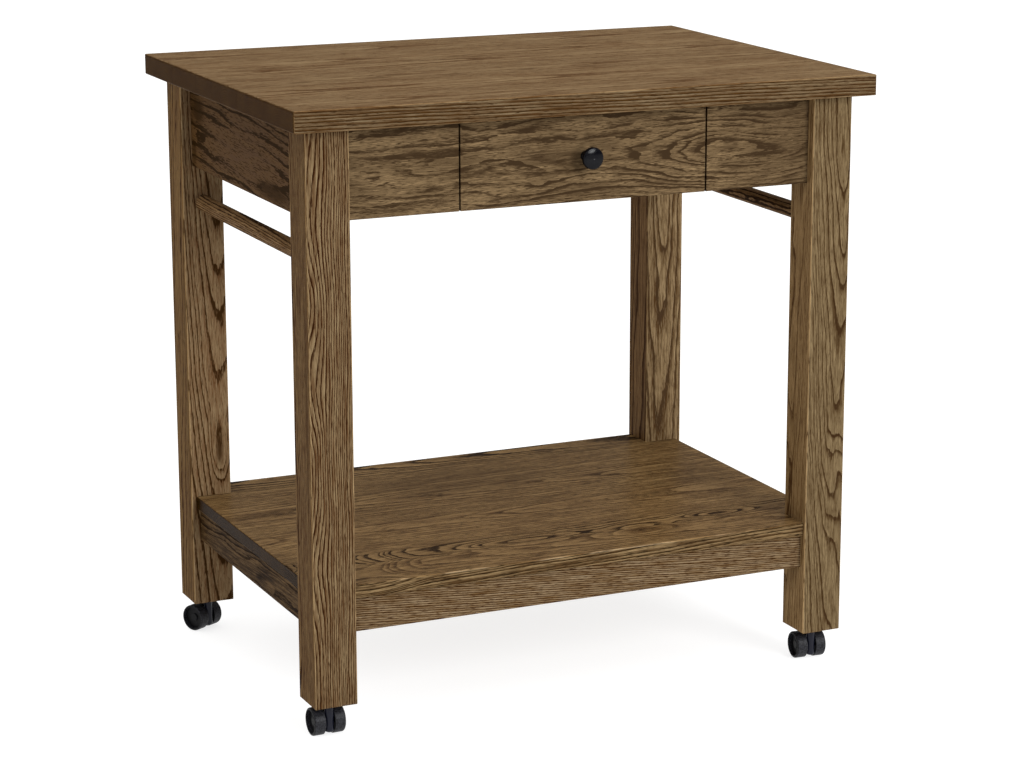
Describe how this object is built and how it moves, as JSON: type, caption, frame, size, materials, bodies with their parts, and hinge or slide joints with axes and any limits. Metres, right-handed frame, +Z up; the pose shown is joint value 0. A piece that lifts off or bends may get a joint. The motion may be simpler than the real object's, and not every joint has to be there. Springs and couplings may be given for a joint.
{
  "type": "serving trolley",
  "caption": "Wheeled oak serving trolley: plank worktop on square legs, a central drawer with a round knob, side towel bars, a lower shelf on rails and swivelling twin-wheel casters.",
  "frame": {"origin": "on the floor, under the middle of the worktop", "axes": "+Z up, the drawer opens towards -Y, X runs along the worktop's long side"},
  "size_m": [0.914, 0.66, 0.919],
  "materials": {
    "oak_worktop": "stained oak, satin lacquer",
    "oak_leg": "stained oak, satin lacquer",
    "oak_apron": "stained oak, satin lacquer",
    "oak_shelf": "stained oak, satin lacquer",
    "oak_rail": "stained oak, satin lacquer",
    "oak_bar": "stained oak, satin lacquer",
    "frame_hardwood": "bare planed hardwood",
    "box_maple": "clear lacquered maple",
    "knob_black": "gloss black lacquer",
    "zinc_steel": "bright zinc plate",
    "slide_steel": "bright zinc plate",
    "caster_steel": "plated steel",
    "caster_nylon": "moulded black nylon",
    "caster_wheel": "moulded black nylon"
  },
  "bodies": {
    "cart": {"caster_sockets": "caster_steel", "corner_blocks": "frame_hardwood", "corner_bolts": "zinc_steel", "drawer_divider_left": "frame_hardwood", "drawer_divider_right": "frame_hardwood", "front_panel_left": "oak_apron", "front_panel_right": "oak_apron", "leg_front_left": "oak_leg", "leg_front_right": "oak_leg", "leg_rear_left": "oak_leg", "leg_rear_right": "oak_leg", "rear_apron": "oak_apron", "shelf_board": "oak_shelf", "shelf_rail_front": "oak_rail", "shelf_rail_left": "oak_rail", "shelf_rail_rear": "oak_rail", "shelf_rail_right": "oak_rail", "shelf_screws": "zinc_steel", "side_apron_left": "oak_apron", "side_apron_right": "oak_apron", "slide_outer_left": "slide_steel", "slide_outer_right": "slide_steel", "top_screws": "zinc_steel", "towel_bar_left": "oak_bar", "towel_bar_right": "oak_bar", "worktop": "oak_worktop"},
    "drawer": {"box_back": "box_maple", "box_front": "box_maple", "box_side_left": "box_maple", "box_side_right": "box_maple", "drawer_bottom": "box_maple", "drawer_front": "oak_apron", "drawer_knob": "knob_black", "drawer_screws": "zinc_steel", "knob_screw": "zinc_steel", "slide_inner_left": "slide_steel", "slide_inner_right": "slide_steel"},
    "slide_middle_left": {"slide_middle_left": "slide_steel"},
    "slide_middle_right": {"slide_middle_right": "slide_steel"},
    "caster_front_left": {"caster_front_left_stem": "caster_steel", "caster_front_left_housing": "caster_nylon", "caster_front_left_axle": "caster_steel"},
    "caster_front_left_wheel_left": {"caster_front_left_wheel_left": "caster_wheel"},
    "caster_front_left_wheel_right": {"caster_front_left_wheel_right": "caster_wheel"},
    "caster_front_right": {"caster_front_right_stem": "caster_steel", "caster_front_right_housing": "caster_nylon", "caster_front_right_axle": "caster_steel"},
    "caster_front_right_wheel_left": {"caster_front_right_wheel_left": "caster_wheel"},
    "caster_front_right_wheel_right": {"caster_front_right_wheel_right": "caster_wheel"},
    "caster_rear_left": {"caster_rear_left_stem": "caster_steel", "caster_rear_left_housing": "caster_nylon", "caster_rear_left_axle": "caster_steel"},
    "caster_rear_left_wheel_left": {"caster_rear_left_wheel_left": "caster_wheel"},
    "caster_rear_left_wheel_right": {"caster_rear_left_wheel_right": "caster_wheel"},
    "caster_rear_right": {"caster_rear_right_stem": "caster_steel", "caster_rear_right_housing": "caster_nylon", "caster_rear_right_axle": "caster_steel"},
    "caster_rear_right_wheel_left": {"caster_rear_right_wheel_left": "caster_wheel"},
    "caster_rear_right_wheel_right": {"caster_rear_right_wheel_right": "caster_wheel"}
  },
  "joints": [
    {"name": "drawer_slide", "type": "slide", "parent": "cart", "child": "drawer", "axis": [0, -1, 0], "range_m": [0, 0.38]},
    {"name": "slide_middle_left_travel", "type": "slide", "parent": "cart", "child": "slide_middle_left", "axis": [0, -1, 0], "range_m": [0, 0.19]},
    {"name": "slide_middle_right_travel", "type": "slide", "parent": "cart", "child": "slide_middle_right", "axis": [0, -1, 0], "range_m": [0, 0.19]},
    {"name": "caster_front_left_swivel", "type": "hinge", "parent": "cart", "child": "caster_front_left", "pos_m": [-0.3995, -0.27, 0.0535], "axis": [0, 0, 1], "continuous": true},
    {"name": "caster_front_left_wheel_left_spin", "type": "hinge", "parent": "caster_front_left", "child": "caster_front_left_wheel_left", "pos_m": [-0.39973, -0.257, 0.02075], "axis": [0.9998, 0.0175, 0], "continuous": true},
    {"name": "caster_front_left_wheel_right_spin", "type": "hinge", "parent": "caster_front_left", "child": "caster_front_left_wheel_right", "pos_m": [-0.39973, -0.257, 0.02075], "axis": [0.9998, 0.0175, 0], "continuous": true},
    {"name": "caster_front_right_swivel", "type": "hinge", "parent": "cart", "child": "caster_front_right", "pos_m": [0.3995, -0.27, 0.0535], "axis": [0, 0, 1], "continuous": true},
    {"name": "caster_front_right_wheel_left_spin", "type": "hinge", "parent": "caster_front_right", "child": "caster_front_right_wheel_left", "pos_m": [0.40063, -0.25705, 0.02075], "axis": [0.9962, -0.0872, 0], "continuous": true},
    {"name": "caster_front_right_wheel_right_spin", "type": "hinge", "parent": "caster_front_right", "child": "caster_front_right_wheel_right", "pos_m": [0.40063, -0.25705, 0.02075], "axis": [0.9962, -0.0872, 0], "continuous": true},
    {"name": "caster_rear_left_swivel", "type": "hinge", "parent": "cart", "child": "caster_rear_left", "pos_m": [-0.3995, 0.27, 0.0535], "axis": [0, 0, 1], "continuous": true},
    {"name": "caster_rear_left_wheel_left_spin", "type": "hinge", "parent": "caster_rear_left", "child": "caster_rear_left_wheel_left", "pos_m": [-0.4058, 0.28137, 0.02075], "axis": [0.8746, 0.4848, 0], "continuous": true},
    {"name": "caster_rear_left_wheel_right_spin", "type": "hinge", "parent": "caster_rear_left", "child": "caster_rear_left_wheel_right", "pos_m": [-0.4058, 0.28137, 0.02075], "axis": [0.8746, 0.4848, 0], "continuous": true},
    {"name": "caster_rear_right_swivel", "type": "hinge", "parent": "cart", "child": "caster_rear_right", "pos_m": [0.3995, 0.27, 0.0535], "axis": [0, 0, 1], "continuous": true},
    {"name": "caster_rear_right_wheel_left_spin", "type": "hinge", "parent": "caster_rear_right", "child": "caster_rear_right_wheel_left", "pos_m": [0.39636, 0.28261, 0.02075], "axis": [0.9703, 0.2419, 0], "continuous": true},
    {"name": "caster_rear_right_wheel_right_spin", "type": "hinge", "parent": "caster_rear_right", "child": "caster_rear_right_wheel_right", "pos_m": [0.39636, 0.28261, 0.02075], "axis": [0.9703, 0.2419, 0], "continuous": true}
  ],
  "couplings": [
    {"joint": "slide_middle_left_travel", "follows": "drawer_slide", "ratio": 0.5},
    {"joint": "slide_middle_right_travel", "follows": "drawer_slide", "ratio": 0.5}
  ]
}
